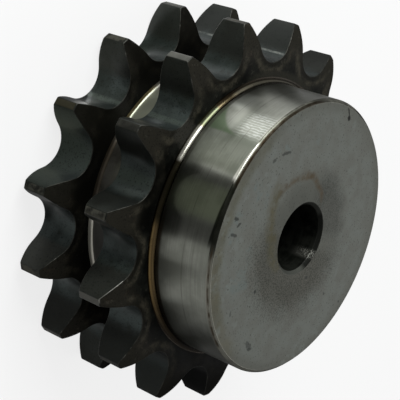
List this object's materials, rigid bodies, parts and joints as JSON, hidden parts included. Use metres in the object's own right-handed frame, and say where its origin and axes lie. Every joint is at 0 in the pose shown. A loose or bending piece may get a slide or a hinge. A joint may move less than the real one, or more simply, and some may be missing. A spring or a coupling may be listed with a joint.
{
  "type": "chain sprocket",
  "caption": "Roller chain sprocket for a duplex chain, one piece of steel with in-line tooth rows, a grooved neck, a plain hub on one side and a pilot bore.",
  "frame": {"origin": "where the bore's axis meets the rear face, which is the open side of the tooth row away from the hub", "axes": "+Z along the bore towards the hub's face, +Y through the middle of a tooth"},
  "size_m": [0.0826, 0.0823, 0.04],
  "materials": {
    "steel": "dark blue-black hardened teeth, bright turned hub and satin hub face"
  },
  "bodies": {
    "root": {"sprocket": "steel"}
  },
  "joints": []
}
